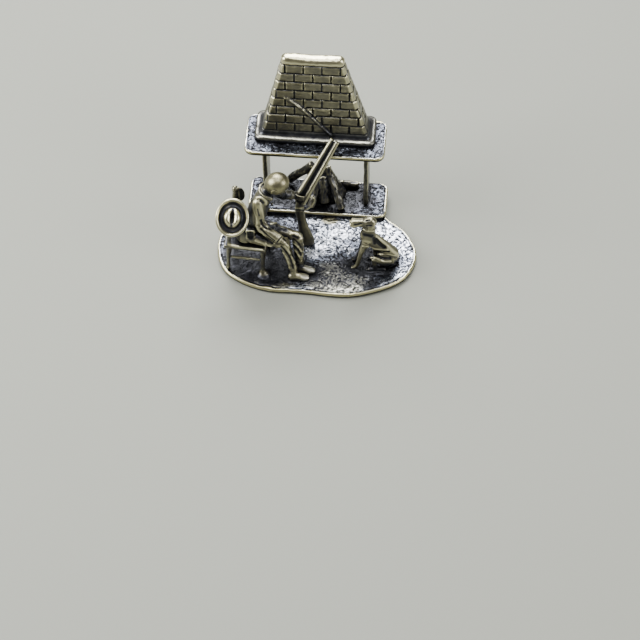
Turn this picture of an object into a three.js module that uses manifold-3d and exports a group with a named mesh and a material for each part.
// A cast silver tabletop miniature: a hunter seated beside a brick fireplace, with a dog.
// Millimetres, +Z up, +X to the right along the fireplace, +Y towards its back.
import * as THREE from "three";
import { mergeVertices } from "three/addons/utils/BufferGeometryUtils.js";
import Module from "manifold-3d";

const wasm = await Module();
wasm.setup();

// Driving dimensions. Everything is measured from the middle of the hearth's front edge.
const basePlate = {
  thickness: 1.2,
  rimRound: 0.3,
  outlineSteps: 48,
  outline: [
    [-18.4, -6.4], [-18.45, -9.5], [-17.8, -12.2], [-16.3, -14.7], [-14.2, -16.35], [-11.2, -17.75],
    [-7.3, -18.65], [-3.4, -18.6], [0.5, -18.65], [4.4, -18.95], [8.3, -18.8], [12.1, -17.7],
    [15.9, -15.95], [18.7, -13.7], [20.2, -10.7], [20.6, -7.9], [19.9, -5.4], [17.8, -2.0],
    [14.9, 0.15], [11.5, 3.4], [6.0, 5.6], [-6.0, 5.6], [-12.0, 2.6], [-16.6, -2.6],
  ],
};
const hearth = { left: -13.45, right: 14.0, front: 0, back: 8.7, thickness: 1.2, corner: 1.6, rimRound: 0.3 };
const mantle = { left: -13.6, right: 13.5, front: -0.4, back: 9.6, bottom: 19.2, thickness: 1.2, corner: 1.7,
  rimRound: 0.3 };
const sidePlate = { leftX: -10.0, rightX: 9.8, thickness: 0.85, front: 2.9, back: 8.5 };
const hood = {
  rim: { left: -11.75, right: 11.5, front: 2.2, back: 9.75 },
  rimHeight: 1.1,
  foot: { left: -10.3, right: 10.0, front: 3.4, back: 8.1 },
  footAboveMantle: 2.4,
  head: { left: -6.1, right: 4.95, front: 5.15, back: 7.4 },
  height: 21.2,
  courses: 9,
  courseHeight: 2.11,
  brickLength: 3.48,
  jointX: -0.5,
  jointMargin: 0.9,
  mortar: 0.3,
  mortarDepth: 0.24,
  corner: 0.55,
  lipCorner: 1.3,
  saddleDip: 0.6,
  capRound: 1.1,
};
const floorZ = basePlate.thickness;
const hearthTop = floorZ + hearth.thickness;
const mantleTop = mantle.bottom + mantle.thickness;
const clearance = 0.05;

// The chair stands turned a little towards the front.
const chair = {
  nearBack: [-15.9, -14.1],
  nearFront: [-8.95, -14.6],
  width: 6.2,
  seatTop: 8.9,
  seatThickness: 0.7,
  backLean: 0.95,
  postTop: 17.8,
  nearPostTop: 16.1,
  legRadius: 0.36,
  finialRadius: 0.64,
};
const hat = { centre: [-14.45, -14.1, 17.2], brim: 3.75, crown: 1.8, crownHeight: 1.5, oval: 0.86, sheet: 0.3 };

// Joints of the seated man, each a point of the figure.
const man = {
  pelvis: [-12.0, -11.3, 10.4],
  waist: [-10.9, -11.0, 12.9],
  chest: [-9.8, -10.3, 16.2],
  neckBase: [-8.7, -9.5, 19.3],
  head: [-6.4, -9.05, 21.75],
  nearShoulder: [-9.65, -11.3, 18.9],
  nearElbow: [-9.25, -13.2, 13.9],
  nearWrist: [-5.75, -14.15, 11.7],
  nearHand: [-4.7, -14.35, 11.3],
  farShoulder: [-7.9, -7.5, 18.9],
  farElbow: [-5.9, -5.9, 15.0],
  farWrist: [-4.1, -5.4, 14.3],
  farHand: [-3.1, -5.05, 14.0],
  nearKnee: [-4.6, -13.9, 9.8],
  farKnee: [-2.35, -12.2, 10.2],
  nearAnkle: [-2.95, -14.7, 3.0],
  farAnkle: [-1.9, -12.7, 3.0],
};
const headSize = { length: 4.3, width: 4.2, height: 5.0, tilt: 62, turn: -8 };

const gun = {
  muzzle: [3.96, 0.85, 23.8],
  breech: [-2.45, -5.65, 12.75],
  sideways: [0.886, -0.345, -0.311],
  muzzleSpacing: 1.1,
  breechSpacing: 1.66,
  muzzleRadius: 0.44,
  breechRadius: 0.5,
  // The stock's middle line, each point with half its height and half its thickness.
  stock: [
    [[-2.3, -5.5, 13.1], 0.7, 0.42],
    [[-2.4, -5.65, 12.1], 0.76, 0.46],
    [[-2.45, -5.7, 11.0], 0.84, 0.52],
    [[-2.4, -5.7, 9.6], 0.88, 0.6],
    [[-2.15, -5.85, 8.0], 0.72, 0.5],
    [[-1.65, -6.25, 5.4], 0.85, 0.55],
    [[-1.0, -6.75, 2.8], 1.05, 0.6],
    [[-0.8, -6.95, 1.5], 1.1, 0.6],
  ],
};

const dogSpine = {
  rump: [16.1, -10.9, 5.3],
  loin: [14.7, -11.0, 6.9],
  ribs: [13.1, -11.1, 8.3],
  chest: [11.45, -11.15, 9.9],
  neck: [11.3, -11.2, 12.0],
  brow: [11.5, -11.25, 14.75],
  nose: [8.2, -11.2, 14.1],
};

const silver = { bright: 0xb9b28c, dark: 0x4a4a50, soot: 0x2a2a2e };
const v3 = (p) => new THREE.Vector3(p[0], p[1], p[2]);
const mix = (a, b, t) => a + (b - a) * t;
const mixPoint = (a, b, t) => a.map((value, i) => mix(value, b[i], t));
const shifted = (p, dx, dy, dz) => [p[0] + dx, p[1] + dy, p[2] + dz];

// A closed skin over rings of equally many points, with a pole or a flat fan at each end.
function skin(rings, startPole, endPole) {
  const count = rings[0].length;
  const points = [...rings.flat(), startPole, endPole];
  const faces = [];
  for (let k = 0; k + 1 < rings.length; k++) {
    for (let i = 0; i < count; i++) {
      const a = k * count + i;
      const b = k * count + ((i + 1) % count);
      faces.push(a, b, b + count, a, b + count, a + count);
    }
  }
  const start = rings.length * count;
  const last = (rings.length - 1) * count;
  for (let i = 0; i < count; i++) {
    const next = (i + 1) % count;
    faces.push(start, next, i);
    faces.push(start + 1, last + i, last + next);
  }
  const geometry = new THREE.BufferGeometry();
  geometry.setFromPoints(points);
  geometry.setIndex(faces);
  geometry.computeVertexNormals();
  return geometry;
}

function toSolid(geometry) {
  const bare = geometry.clone();
  bare.deleteAttribute("normal");
  bare.deleteAttribute("uv");
  const merged = mergeVertices(bare, 1e-5);
  const mesh = new wasm.Mesh({
    numProp: 3,
    vertProperties: new Float32Array(merged.attributes.position.array),
    triVerts: new Uint32Array(merged.index.array),
  });
  return new wasm.Manifold(mesh);
}

function toGeometry(solid) {
  const mesh = solid.getMesh();
  const geometry = new THREE.BufferGeometry();
  geometry.setAttribute("position", new THREE.BufferAttribute(mesh.vertProperties, 3));
  geometry.setIndex(new THREE.BufferAttribute(mesh.triVerts, 1));
  geometry.computeVertexNormals();
  return geometry;
}

const join = (geometries) => geometries.map(toSolid).reduce((whole, next) => whole.add(next));

// A limb: a tube through stations [point, halfWidth, halfDepth]. Widths lie along the across direction.
function limb(stations, { sides = 8, steps = 2, across = [0, 1, 0], round = 1 } = {}) {
  const curve = new THREE.CatmullRomCurve3(stations.map((s) => v3(s[0])), false, "centripetal");
  const spans = stations.length - 1;
  const count = spans * steps;
  const side = v3(across);
  const sizeAt = (t) => {
    const k = Math.min(Math.floor(t * spans), spans - 1);
    const f = t * spans - k;
    const ease = f * f * (3 - 2 * f);
    const [, w0, d0 = w0] = stations[k];
    const [, w1, d1 = w1] = stations[k + 1];
    return [mix(w0, w1, ease), mix(d0, d1, ease)];
  };
  const ringAt = (centre, tangent, width, depth) => {
    const a = side.clone().addScaledVector(tangent, -side.dot(tangent)).normalize();
    const b = new THREE.Vector3().crossVectors(tangent, a);
    return Array.from({ length: sides }, (_, i) => {
      const angle = (i / sides) * Math.PI * 2;
      return centre.clone().addScaledVector(a, Math.cos(angle) * width).addScaledVector(b, Math.sin(angle) * depth);
    });
  };
  const rings = [];
  const endCap = (t, outward) => {
    const [width, depth] = sizeAt(t);
    const reach = Math.min(width, depth) * round;
    const tangent = curve.getTangent(t);
    const centre = curve.getPoint(t);
    const lean = Math.PI / 4;
    const ring = ringAt(centre.clone().addScaledVector(tangent, outward * reach * Math.sin(lean)), tangent,
      width * Math.cos(lean), depth * Math.cos(lean));
    return [ring, centre.addScaledVector(tangent, outward * reach)];
  };
  const [startRing, startPole] = endCap(0, -1);
  const [endRing, endPole] = endCap(1, 1);
  if (round > 0) rings.push(startRing);
  for (let k = 0; k <= count; k++) {
    const t = k / count;
    rings.push(ringAt(curve.getPoint(t), curve.getTangent(t), ...sizeAt(t)));
  }
  if (round > 0) rings.push(endRing);
  return skin(rings, startPole, endPole);
}

function ball(centre, radii, turn = [0, 0, 0], detail = [10, 7]) {
  const geometry = new THREE.SphereGeometry(1, ...detail);
  geometry.scale(...radii);
  geometry.rotateX(turn[0]);
  geometry.rotateY(turn[1]);
  geometry.rotateZ(turn[2]);
  geometry.translate(...centre);
  return geometry;
}

function block(low, high) {
  const geometry = new THREE.BoxGeometry(high[0] - low[0], high[1] - low[1], high[2] - low[2]);
  geometry.translate((low[0] + high[0]) / 2, (low[1] + high[1]) / 2, (low[2] + high[2]) / 2);
  return geometry;
}

// A flat plate with a rounded rim, its underside at the given height.
function roundedPlate(shape, bottom, thickness, rimRound) {
  const geometry = new THREE.ExtrudeGeometry(shape, {
    depth: thickness - 2 * rimRound,
    bevelThickness: rimRound,
    bevelSize: rimRound,
    bevelOffset: -rimRound,
    bevelSegments: 1,
    curveSegments: 2,
  });
  geometry.translate(0, 0, bottom + rimRound);
  return geometry;
}

function roundedRectangle({ left, right, front, back, corner }) {
  const shape = new THREE.Shape();
  shape.absarc(right - corner, front + corner, corner, -Math.PI / 2, 0);
  shape.absarc(right - corner, back - corner, corner, 0, Math.PI / 2);
  shape.absarc(left + corner, back - corner, corner, Math.PI / 2, Math.PI);
  shape.absarc(left + corner, front + corner, corner, Math.PI, Math.PI * 1.5);
  return shape;
}

function basePlateGeometry() {
  const knots = basePlate.outline.map(([x, y]) => new THREE.Vector3(x, y, 0));
  const rim = new THREE.CatmullRomCurve3(knots, true).getPoints(basePlate.outlineSteps);
  rim.pop();
  const shape = new THREE.Shape(rim.map((p) => new THREE.Vector2(p.x, p.y)));
  return roundedPlate(shape, 0, basePlate.thickness, basePlate.rimRound);
}

function sidePlateGeometry(middle) {
  const half = sidePlate.thickness / 2;
  return block([middle - half, sidePlate.front, hearthTop], [middle + half, sidePlate.back, mantle.bottom]);
}

// A level of the hood: a rectangle with rounded corners at one height, each corner of `spans` chords.
function level(z, { left, right, front, back }, inset = 0, corner = hood.corner, spans = 1) {
  const x0 = left + inset + corner;
  const x1 = right - inset - corner;
  const y0 = front + inset + corner;
  const y1 = back - inset - corner;
  const corners = [[x0, y0], [x1, y0], [x1, y1], [x0, y1]];
  return corners.flatMap(([x, y], quarter) => Array.from({ length: spans + 1 }, (_, k) => {
    const angle = (quarter + k / spans) * (Math.PI / 2);
    return new THREE.Vector3(x - corner * Math.cos(angle), y - corner * Math.sin(angle), z);
  }));
}

function stack(rings) {
  const middle = (ring) => ring.reduce((sum, p) => sum.add(p), new THREE.Vector3()).divideScalar(ring.length);
  return skin(rings, middle(rings[0]), middle(rings.at(-1)));
}

const hoodFootZ = mantleTop + hood.footAboveMantle;
const hoodTopZ = mantleTop + hood.height;

function hoodPlan(z) {
  const t = (z - hoodFootZ) / (hoodTopZ - hoodFootZ);
  const side = (name) => mix(hood.foot[name], hood.head[name], t);
  return { left: side("left"), right: side("right"), front: side("front"), back: side("back") };
}

// The concave foot moulding, from an upright lip in to the brickwork.
function hoodFlare() {
  const lipTop = mantleTop + hood.rimHeight;
  const lipRound = 0.2;
  const rings = [
    level(mantleTop, hood.rim, lipRound, hood.lipCorner - lipRound, 3),
    level(mantleTop + lipRound, hood.rim, 0, hood.lipCorner, 3),
    level(lipTop - lipRound, hood.rim, 0, hood.lipCorner, 3),
    level(lipTop, hood.rim, lipRound, hood.lipCorner - lipRound, 3),
  ];
  const sweeps = 3;
  for (let k = 1; k <= sweeps; k++) {
    const angle = (k / sweeps) * (Math.PI / 2);
    const inward = Math.sin(angle);
    const plan = {};
    for (const side of ["left", "right", "front", "back"]) plan[side] = mix(hood.rim[side], hood.foot[side], inward);
    const corner = mix(hood.lipCorner - lipRound, hood.corner, inward);
    rings.push(level(mix(lipTop, hoodFootZ, 1 - Math.cos(angle)), plan, lipRound * (1 - inward), corner, 3));
  }
  return stack(rings);
}

function brickCourse(k) {
  const low = hoodFootZ + k * hood.courseHeight + (k === 0 ? 0 : hood.mortar / 2);
  const high = hoodFootZ + (k + 1) * hood.courseHeight - hood.mortar / 2;
  return stack([level(low, hoodPlan(low)), level(high, hoodPlan(high))]);
}

// The upright joints of one course, each a slot that follows the sloping face.
function courseJoints(k) {
  const low = hoodFootZ + k * hood.courseHeight;
  const high = low + hood.courseHeight;
  const middle = hoodPlan((low + high) / 2);
  const stagger = k % 2 === 0 ? 0 : 0.5;
  const slots = [];
  const slot = (z, x0, x1, y0, y1) => [[x0, y0], [x1, y0], [x1, y1], [x0, y1]]
    .map(([x, y]) => new THREE.Vector3(x, y, z));
  const reach = 0.6;
  const depth = hood.mortarDepth + 0.05;
  const half = hood.mortar / 2;
  for (let i = -4; i <= 4; i++) {
    const x = hood.jointX + (i + stagger) * hood.brickLength;
    if (x < middle.left + hood.jointMargin || x > middle.right - hood.jointMargin) continue;
    const frontSlot = (z) => slot(z, x - half, x + half, hoodPlan(z).front - reach,
      hoodPlan(z).front + depth);
    slots.push(stack([frontSlot(low), frontSlot(high)]));
  }
  if (k % 2 === 1) {
    const y = (middle.front + middle.back) / 2;
    const rightSlot = (z) => slot(z, hoodPlan(z).right - depth, hoodPlan(z).right + reach, y - half,
      y + half);
    const leftSlot = (z) => slot(z, hoodPlan(z).left - reach, hoodPlan(z).left + depth, y - half,
      y + half);
    slots.push(stack([rightSlot(low), rightSlot(high)]), stack([leftSlot(low), leftSlot(high)]));
  }
  return slots;
}

// The polished ridge on top, a rounded bar that dips towards its middle.
function hoodRidge() {
  const low = hoodFootZ + (hood.courses - 1) * hood.courseHeight + hood.mortar / 2;
  const plan = hoodPlan(low);
  const rings = [];
  for (const t of [0, 0.06, 0.2, 0.5, 0.8, 0.94, 1]) {
    const x = mix(plan.left, plan.right, t);
    const end = Math.abs(2 * t - 1);
    const fall = 1 - Math.sqrt(1 - Math.min(end, 0.99) ** 8);
    const top = hoodTopZ - hood.saddleDip * (1 - end * end) - hood.capRound * fall;
    const front = plan.front + fall * 0.5;
    const back = plan.back - fall * 0.5;
    const section = [
      [front, low], [front, top - 0.8], [front + 0.25, top - 0.3], [front + 0.7, top],
      [back - 0.7, top], [back - 0.25, top - 0.3], [back, top - 0.8], [back, low],
    ];
    rings.push(section.map(([y, z]) => new THREE.Vector3(x, y, z)).reverse());
  }
  return stack(rings);
}

// The old musket and its sling, cast in relief across the brick face.
function wallMusket() {
  const onFace = (x, z, proud) => [x, hoodPlan(z).front - proud, z];
  const musket = limb([
    [onFace(-5.6, 31.5, 0.1), 0.36, 0.3],
    [onFace(-4.2, 30.4, 0.15), 0.24, 0.3],
    [onFace(-2.5, 28.9, 0.2), 0.28, 0.3],
    [onFace(-0.4, 26.5, 0.2), 0.18, 0.24],
    [onFace(3.0, 22.4, 0.15), 0.14, 0.2],
  ], { sides: 5, steps: 1, across: [0.7, 0, 0.7] });
  const sling = limb([
    [onFace(-2.2, 29.4, 0.1), 0.1, 0.16],
    [onFace(-0.65, 28.0, 0.19), 0.1, 0.16],
    [onFace(0.9, 25.7, 0.12), 0.1, 0.16],
  ], { sides: 4, steps: 1, across: [0.7, 0, 0.7] });
  return [musket, sling];
}

function hoodGeometry() {
  const courses = Array.from({ length: hood.courses - 1 }, (_, k) => brickCourse(k));
  const joints = Array.from({ length: hood.courses - 1 }, (_, k) => courseJoints(k)).flat();
  const coreTop = hoodTopZ - 1.2;
  const core = stack([
    level(hoodFootZ - 0.2, hoodPlan(hoodFootZ), hood.mortarDepth),
    level(coreTop, hoodPlan(coreTop), hood.mortarDepth),
  ]);
  const bricks = join([...courses, hoodRidge()]).subtract(join(joints));
  return toGeometry(bricks.add(join([core, hoodFlare(), ...wallMusket()])));
}

// One rough log between two ends, with knots as small swellings.
function log(from, to, radius, seed) {
  const count = 3;
  const stations = [];
  for (let k = 0; k <= count; k++) {
    const wobble = Math.sin(seed * 5.1 + k * 2.3);
    const bend = 0.1 * Math.cos(seed * 3.7 + k * 1.9);
    const middle = shifted(mixPoint(from, to, k / count), 0.1 * wobble, bend, 0);
    stations.push([middle, radius * (1 + 0.12 * wobble), radius * (1 - 0.1 * wobble)]);
  }
  return limb(stations, { sides: 6, steps: 1, across: [0.6, 0.6, 0.5], round: 0 });
}

// Logs lean together over a heap of burnt ones, and one lies along the back.
function fireLogs() {
  const top = [0.7, 5.7, 9.7];
  const logs = [
    log([-5.7, 7.3, 3.4], [-1.0, 6.6, 9.5], 0.8, 1),
    log([5.2, 1.3, 2.8], shifted(top, 1.2, 0.0, 0.5), 0.75, 2),
    log([-0.9, 1.2, 2.8], shifted(top, -0.6, -1.4, -2.6), 0.75, 3),
    log([4.2, 6.2, 2.9], shifted(top, 0.8, 0.4, -0.6), 1.0, 4),
    log([-2.4, 5.8, 2.9], shifted(top, -0.3, 0.4, -0.8), 1.05, 5),
    log([1.7, 2.6, 2.9], shifted(top, 0.5, -0.9, -1.4), 1.05, 6),
    log([3.2, 7.4, 3.0], [8.1, 7.3, 3.0], 0.75, 7),
  ];
  const ash = ball([1.6, 5.4, hearthTop], [4.2, 3.0, 2.4], [0, 0, 0], [8, 5]);
  return toGeometry(join([...logs, ash]).subtract(toSolid(block([-20, -20, -5], [20, 20, hearthTop]))));
}

const along = new THREE.Vector2(chair.nearFront[0] - chair.nearBack[0], chair.nearFront[1] - chair.nearBack[1]);
const chairTurn = Math.atan2(along.y, along.x);
const farSide = [-Math.sin(chairTurn) * chair.width, Math.cos(chairTurn) * chair.width];

// A point of the chair: along the seat from the back legs, across to the far side, and up.
function chairPoint(forward, side, z) {
  const t = forward / along.length();
  return [
    chair.nearBack[0] + along.x * t + farSide[0] * side, chair.nearBack[1] + along.y * t + farSide[1] * side, z,
  ];
}

// The back posts lean forward as they rise, so that the slats between them follow.
const postPoint = (side, z) => chairPoint(chair.backLean * (z / chair.postTop), side, z);

function chairSolid() {
  const parts = [chairSeat(), hangingStrap()];
  const depth = along.length();
  const r = chair.legRadius;
  const rail = (a, b) => limb([[a, 0.25], [b, 0.25]], { sides: 4, steps: 1, across: [0, 0, 1], round: 0 });
  for (const side of [0, 1]) {
    const top = side === 0 ? chair.nearPostTop : chair.postTop;
    const ballZ = top + chair.finialRadius;
    parts.push(
      limb([[postPoint(side, floorZ), r * 1.1], [postPoint(side, top - 3), r], [postPoint(side, top), r * 1.35]],
        { sides: 6, steps: 1, round: 0 }),
      limb([[chairPoint(depth, side, floorZ), r * 1.1], [chairPoint(depth, side, chair.seatTop - 0.4), r]],
        { sides: 6, steps: 1, round: 0 }),
      ball(postPoint(side, ballZ), Array(3).fill(chair.finialRadius), [0, 0, 0], [6, 4]),
      ball(postPoint(side, top), [0.6, 0.6, 0.26], [0, 0, 0], [6, 3]),
      rail(postPoint(side, 5.2), chairPoint(depth, side, 5.2)),
    );
  }
  parts.push(rail(postPoint(0, 4.2), postPoint(1, 4.2)), rail(chairPoint(depth, 0, 4.2), chairPoint(depth, 1, 4.2)));
  for (const [z, height] of [[11.6, 0.5], [13.6, 0.5], [15.5, 0.6]]) {
    const bowed = shifted(postPoint(0.5, z), -0.4, 0, 0.1);
    parts.push(limb([[postPoint(0, z), height, 0.2], [bowed, height * 1.2, 0.2], [postPoint(1, z), height, 0.2]],
      { sides: 4, steps: 2, across: [0, 0, 1], round: 0 }));
  }
  return join(parts).subtract(toSolid(block([-30, -30, -5], [0, 0, floorZ])));
}

function chairSeat() {
  const overhang = 0.45;
  const shape = roundedRectangle({
    left: -overhang, right: along.length() + overhang, front: -overhang, back: chair.width + overhang, corner: 0.8,
  });
  const seat = roundedPlate(shape, 0, chair.seatThickness, 0.22);
  seat.rotateZ(chairTurn);
  seat.translate(...chair.nearBack, chair.seatTop - chair.seatThickness);
  return seat;
}

// A hooked strap beside the far back post, from its finial down to the upper slat.
function hangingStrap() {
  const top = postPoint(1, chair.postTop);
  return limb([
    [shifted(top, 0, 0, 0.7), 0.36, 0.18],
    [shifted(top, 1.1, 0, 0.75), 0.42, 0.18],
    [shifted(top, 1.5, 0, -0.5), 0.46, 0.18],
    [shifted(top, 1.35, 0, -1.9), 0.44, 0.18],
    [shifted(top, 0, 0, -2.7), 0.36, 0.18],
  ], { sides: 5, steps: 2, across: [1, 0, -0.6], round: 0 });
}

// The hat lies over the near back post, its crown towards the front and pinched along the top.
function hatSolid() {
  const crown = hat.crown;
  const sheet = hat.sheet;
  const profile = [
    [0, hat.crownHeight * 0.85], [crown * 0.55, hat.crownHeight], [crown * 0.88, hat.crownHeight * 0.75],
    [crown, hat.crownHeight * 0.3], [crown * 1.06, 0], [hat.brim * 0.76, -0.1], [hat.brim * 0.87, 0.08],
    [hat.brim * 0.93, 0.42], [hat.brim, 0.4], [hat.brim * 0.95, -0.12], [hat.brim * 0.74, -0.14 - sheet],
    [crown * 0.85, -sheet], [crown * 0.72, 0.25], [crown * 0.4, 0.38], [0, 0.3],
  ];
  const points = profile.map(([x, y]) => new THREE.Vector2(x, y)).reverse();
  const geometry = new THREE.LatheGeometry(points, 16);
  const position = geometry.attributes.position;
  for (let i = 0; i < position.count; i++) {
    const x = position.getX(i);
    const y = position.getY(i);
    const z = position.getZ(i);
    const outside = y > hat.crownHeight * 0.7 ? 1 : 0;
    const crease = 0.65 * outside * Math.max(0, 1 - Math.hypot(x, z) / crown);
    const sideLift = 0.16 * (x / hat.brim) ** 2;
    position.setXYZ(i, x * hat.oval, y - crease + sideLift, z);
  }
  geometry.rotateX(Math.PI / 2);
  const facing = new THREE.Vector3(0.12, -0.62, 0.78).normalize();
  geometry.applyQuaternion(new THREE.Quaternion().setFromUnitVectors(new THREE.Vector3(0, 0, 1), facing));
  geometry.translate(...hat.centre);
  return toSolid(geometry);
}

// The head is bowed, so its crown points forward and its face looks down at the gun.
function headParts() {
  const place = (geometry) => {
    geometry.rotateY(THREE.MathUtils.degToRad(headSize.tilt));
    geometry.rotateZ(THREE.MathUtils.degToRad(headSize.turn));
    geometry.translate(...man.head);
    return geometry;
  };
  const l = headSize.length / 2;
  const w = headSize.width / 2;
  const h = headSize.height / 2;
  const skull = ball([-0.1, 0, 0.15], [l, w, h], [0, 0, 0], [12, 8]);
  const jaw = limb([
    [[0.15, 0, -0.3], w * 0.84, l * 0.72],
    [[0.55, 0, -1.4], w * 0.68, l * 0.6],
    [[0.85, 0, -2.2], w * 0.42, l * 0.4],
  ], { sides: 8, steps: 1 });
  const nose = limb([
    [[l * 0.86, 0, 0.3], 0.2, 0.2], [[l * 1.02, 0, -0.25], 0.24, 0.26], [[l * 1.06, 0, -0.6], 0.32, 0.24],
  ], { sides: 5, steps: 1, round: 0.5 });
  const ears = [-1, 1].map((s) => ball([-0.05, s * w * 0.98, 0.1], [0.45, 0.24, 0.62], [0, 0.2, 0], [6, 4]));
  const neck = limb([[shifted(man.head, -1.1, -0.1, -0.9), 1.15], [man.neckBase, 1.35]], { sides: 8, steps: 1 });
  return [...[skull, jaw, nose, ...ears].map(place), neck];
}

function torsoParts() {
  const shoulders = [0.3, 0.95, 0.05];
  const body = limb([
    [shifted(man.pelvis, 0, 0, -0.8), 2.9, 2.2],
    [shifted(man.pelvis, 0.1, 0, 0.5), 2.6, 2.15],
    [man.waist, 2.3, 2.0],
    [man.chest, 2.5, 1.9],
    [shifted(man.neckBase, -0.2, 0, -0.8), 2.35, 1.6],
    [shifted(man.neckBase, 0.1, 0, 0.3), 1.4, 1.2],
  ], { sides: 10, steps: 1, across: shoulders, round: 0.3 });
  const collar = limb([
    [shifted(man.neckBase, 1.5, -1.4, 0.2), 0.34, 0.24],
    [shifted(man.neckBase, 0.2, -1.45, 0.9), 0.5, 0.24],
    [shifted(man.neckBase, -0.7, -0.3, 1.2), 0.55, 0.26],
    [shifted(man.neckBase, -0.3, 1.2, 1.1), 0.5, 0.24],
  ], { sides: 5, steps: 1, across: [-0.6, 0, 0.8] });
  const lapel = limb([
    [shifted(man.nearShoulder, -0.2, 0.0, 1.0), 0.35, 0.3],
    [shifted(man.nearShoulder, 0.9, 0.3, 0.9), 0.4, 0.3],
    [shifted(man.nearShoulder, 1.7, 0.2, -0.4), 0.3, 0.25],
  ], { sides: 5, steps: 1, across: [0.3, 0, 0.9] });
  return [body, collar, lapel];
}

// A trouser leg and its boot, with the shin a little fuller below the knee.
function legParts(hip, knee, ankle, toeTurn, calf) {
  const thigh = limb([
    [hip, 1.35, 1.4], [mixPoint(hip, knee, 0.5), 1.25, 1.25], [knee, 0.95, 0.95],
  ], { sides: 7, steps: 1 });
  const shin = limb([
    [knee, calf, calf],
    [mixPoint(knee, ankle, 0.45), calf * 0.97, calf * 0.94],
    [shifted(ankle, -0.05, 0, 0.2), calf * 0.84, calf * 0.84],
  ], { sides: 7, steps: 1, round: 0.3 });
  const toe = (distance, dz) => [
    ankle[0] + Math.cos(toeTurn) * distance, ankle[1] + Math.sin(toeTurn) * distance - 0.75, floorZ + dz,
  ];
  const boot = limb([
    [toe(-0.3, 0.6), 0.72, 0.72], [toe(0.9, 0.72), 0.72, 0.7], [toe(2.0, 0.48), 0.8, 0.52], [toe(2.7, 0.4), 0.6, 0.4],
  ], { sides: 7, steps: 1 });
  const upper = limb([[shifted(ankle, 0, -0.1, 0.4), 0.68], [toe(0.15, 0.7), 0.72]],
    { sides: 6, steps: 1, across: [1, 0, 0] });
  return [thigh, shin, boot, upper];
}

function sleeve(shoulder, elbow, wrist) {
  return limb([
    [shoulder, 1.1, 1.1], [mixPoint(shoulder, elbow, 0.55), 0.95, 0.95], [elbow, 0.98, 1.0],
    [mixPoint(elbow, wrist, 0.55), 0.95, 0.92], [wrist, 0.95, 0.92],
  ], { sides: 7, steps: 1, across: [0.2, 1, 0.3] });
}

function handOnKnee() {
  const palm = limb([
    [man.nearWrist, 0.55, 0.5], [man.nearHand, 0.72, 0.45], [shifted(man.nearHand, 0.5, 0.1, -0.5), 0.66, 0.38],
  ], { sides: 7, steps: 1, across: [0, 1, 0] });
  const fingers = [-0.45, 0, 0.45].map((y) => limb([
    [shifted(man.nearHand, 0.4, y, -0.3), 0.24],
    [shifted(man.nearHand, 0.85, y * 1.1, -0.8), 0.23],
    [shifted(man.nearHand, 0.9, y * 1.1, -1.5), 0.2],
  ], { sides: 4, steps: 1, round: 0.6 }));
  return [palm, ...fingers];
}

function handOnGun() {
  const palm = limb([[man.farWrist, 0.55, 0.5], [man.farHand, 0.78, 0.6]], { sides: 7, steps: 1 });
  const fist = limb([
    [shifted(man.farHand, 0.1, -0.4, 0.05), 0.72, 0.3], [shifted(man.farHand, 1.0, -0.65, 0.15), 0.66, 0.26],
  ], { sides: 7, steps: 1, across: [0, 0, 1] });
  return [palm, fist];
}

// The flapped pouch on the belt, behind the near elbow.
function hipPouch() {
  const pouch = roundedPlate(roundedRectangle({ left: -0.85, right: 0.85, front: -0.95, back: 0.95, corner: 0.4 }),
    -0.6, 1.2, 0.2);
  pouch.rotateX(Math.PI / 2);
  pouch.rotateZ(0.12);
  pouch.translate(-11.2, -13.2, 11.9);
  return pouch;
}

function hunterSolid() {
  const parts = [
    ...torsoParts(),
    ...headParts(),
    ...legParts(shifted(man.pelvis, 0.6, -1.5, 0), man.nearKnee, man.nearAnkle, 0.02, 0.92),
    ...legParts(shifted(man.pelvis, 1.1, 1.5, 0), man.farKnee, man.farAnkle, -0.08, 1.06),
    sleeve(man.nearShoulder, man.nearElbow, man.nearWrist),
    sleeve(man.farShoulder, man.farElbow, man.farWrist),
    ...handOnKnee(),
    ...handOnGun(),
    hipPouch(),
  ];
  const ground = toSolid(block([-20, -30, -5], [20, 10, floorZ]));
  const seatFront = chair.nearFront[0] + 0.9;
  const seatRoom = toSolid(block([-30, -30, -5], [seatFront, 0, chair.seatTop + clearance]));
  return join(parts).subtract(ground).subtract(seatRoom).subtract(gunSolid(clearance));
}

// The pair of barrels over their rib, the open action and the stock, which stands on its butt.
function gunSolid(grow = 0) {
  const beside = (point, amount) => v3(point).addScaledVector(v3(gun.sideways), amount).toArray();
  const options = { sides: 8, steps: 1, across: gun.sideways, round: 0.3 };
  const tubes = [-0.5, 0.5].map((s) => limb([
    [beside(gun.breech, s * gun.breechSpacing), gun.breechRadius + grow],
    [beside(gun.muzzle, s * gun.muzzleSpacing), gun.muzzleRadius + grow],
  ], options));
  const rib = limb([
    [gun.breech, gun.breechSpacing / 2 + grow, 0.22 + grow], [gun.muzzle, gun.muzzleSpacing / 2 + grow, 0.16 + grow],
  ], { ...options, sides: 4, round: 0 });
  const stock = limb(gun.stock.map(([point, height, thickness]) => [point, height + grow, thickness + grow]),
    { ...options, across: [1, 0.1, 0.1] });
  const guard = limb([
    [shifted(gun.stock[3][0], 0.7, -0.2, 0.4), 0.14 + grow],
    [shifted(gun.stock[3][0], 1.25, -0.3, -0.6), 0.14 + grow],
    [shifted(gun.stock[4][0], 0.5, -0.1, 0.2), 0.14 + grow],
  ], { ...options, sides: 5, steps: 2 });
  return join([...tubes, rib, stock, guard]).subtract(toSolid(block([-20, -30, -5], [20, 20, floorZ])));
}

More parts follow.
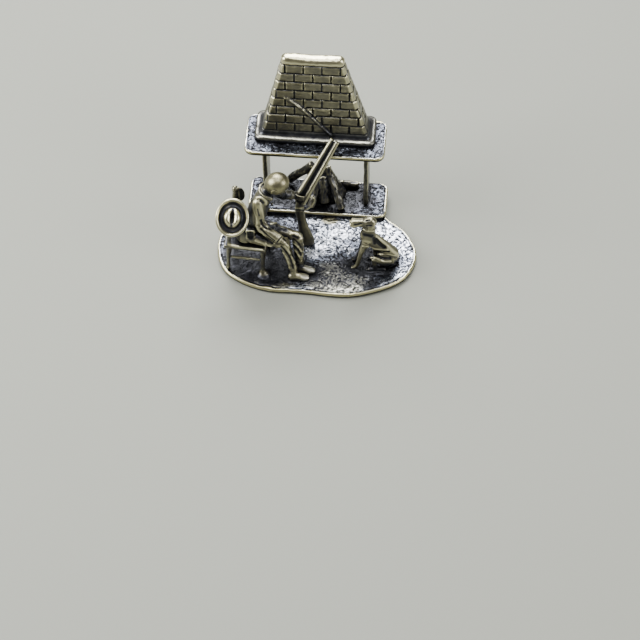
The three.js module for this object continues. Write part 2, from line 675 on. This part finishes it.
function dogSolid() {
  const { rump, loin, ribs, chest, neck, brow, nose } = dogSpine;
  const trunk = limb([
    [rump, 1.15, 1.2],
    [loin, 1.15, 1.25],
    [ribs, 1.15, 1.6],
    [chest, 1.15, 1.75],
    [neck, 0.95, 1.35],
    [shifted(neck, 0.2, 0, 1.6), 0.85, 1.1],
  ], { sides: 8, steps: 1 });
  const head = ball(brow, [1.25, 1.1, 1.2], [0, 0, 0], [10, 7]);
  const muzzle = limb([
    [shifted(brow, -0.5, 0, -0.2), 0.75, 0.85],
    [mixPoint(brow, nose, 0.6), 0.55, 0.75],
    [shifted(nose, 0.1, 0, 0), 0.66, 0.85],
  ], { sides: 8, steps: 1, round: 0.5 });
  const ears = [-1, 1].map((s) => limb([
    [shifted(brow, 0.0, s * 0.8, 0.45), 0.3, 0.18],
    [shifted(brow, 0.25, s * 1.15, -0.4), 0.5, 0.17],
    [shifted(brow, 0.1, s * 1.15, -1.3), 0.3, 0.14],
  ], { sides: 5, steps: 1, across: [1, 0, 0], round: 0.6 }));
  const legs = [-1, 1].map((s) => [
    limb([
      [shifted(chest, -0.5, s * 0.6, -0.9), 0.6, 0.9],
      [[10.0, -11.2 + s * 0.95, 6.2], 0.42, 0.5],
      [[9.3, -11.2 + s * 0.98, 2.6], 0.36, 0.4],
      [[8.7, -11.2 + s * 0.98, 1.6], 0.45, 0.38],
    ], { sides: 6, steps: 1, across: [0, 1, 0], round: 0.4 }),
    limb([
      [shifted(rump, 0.0, s * 0.75, -1.2), 0.75, 1.25],
      [[14.2, -11.0 + s * 1.2, 4.2], 0.65, 1.0],
      [[12.5, -11.1 + s * 1.35, 4.7], 0.5, 0.62],
    ], { sides: 6, steps: 1, across: [0, 1, 0], round: 0.5 }),
    limb([
      [[12.5, -11.1 + s * 1.35, 4.7], 0.42, 0.5], [[12.8, -11.1 + s * 1.35, 2.2], 0.36, 0.4],
    ], { sides: 5, steps: 1, across: [0, 1, 0], round: 0.7 }),
    limb([
      [[14.6, -11.05 + s * 1.3, 1.7], 0.4, 0.42], [[11.6, -11.1 + s * 1.35, 1.6], 0.46, 0.4],
    ], { sides: 5, steps: 1, across: [0, 1, 0], round: 0.7 }),
  ]).flat();
  const seat = limb([[shifted(rump, -0.4, 0, -1.0), 1.3, 1.5], [shifted(rump, -1.0, 0, -3.2), 1.2, 1.4]],
    { sides: 8, steps: 1, round: 0.6 });
  const tail = limb([
    [shifted(rump, 0.4, 0, -2.4), 0.4], [[17.0, -10.0, 1.7], 0.3], [[17.2, -8.7, 1.55], 0.2],
  ], { sides: 6, steps: 1, across: [0, 0, 1] });
  return join([trunk, head, muzzle, seat, ...ears, ...legs, tail])
    .subtract(toSolid(block([0, -30, -5], [30, 10, floorZ])));
}

function piece(name, geometry, color, roughness) {
  const material = new THREE.MeshStandardMaterial({ color, roughness, metalness: 1 });
  const mesh = new THREE.Mesh(geometry, material);
  mesh.name = name;
  return mesh;
}

const slabGeometry = (slab, bottom) => roundedPlate(roundedRectangle(slab), bottom, slab.thickness, slab.rimRound);
const figurine = new THREE.Group();
figurine.add(
  piece("base_plate", basePlateGeometry(), silver.bright, 0.35),
  piece("hearth_slab", slabGeometry(hearth, floorZ), silver.bright, 0.35),
  piece("mantle_slab", slabGeometry(mantle, mantle.bottom), silver.bright, 0.35),
  piece("side_plate_left", sidePlateGeometry(sidePlate.leftX), silver.dark, 0.45),
  piece("side_plate_right", sidePlateGeometry(sidePlate.rightX), silver.dark, 0.45),
  piece("chimney_hood", hoodGeometry(), silver.bright, 0.3),
  piece("fire_logs", fireLogs(), silver.soot, 0.6),
  piece("chair", toGeometry(chairSolid()), silver.dark, 0.4),
  piece("hat", toGeometry(hatSolid()), silver.dark, 0.35),
  piece("hunter", toGeometry(hunterSolid()), silver.bright, 0.3),
  piece("shotgun", toGeometry(gunSolid()), silver.bright, 0.3),
  piece("dog", toGeometry(dogSolid()), silver.bright, 0.3),
);

// The origin is the middle of the whole object's footprint, on the surface that it stands on.
const bounds = new THREE.Box3().setFromObject(figurine);
const middle = bounds.getCenter(new THREE.Vector3());
figurine.position.set(-middle.x, -middle.y, 0);

export default figurine;
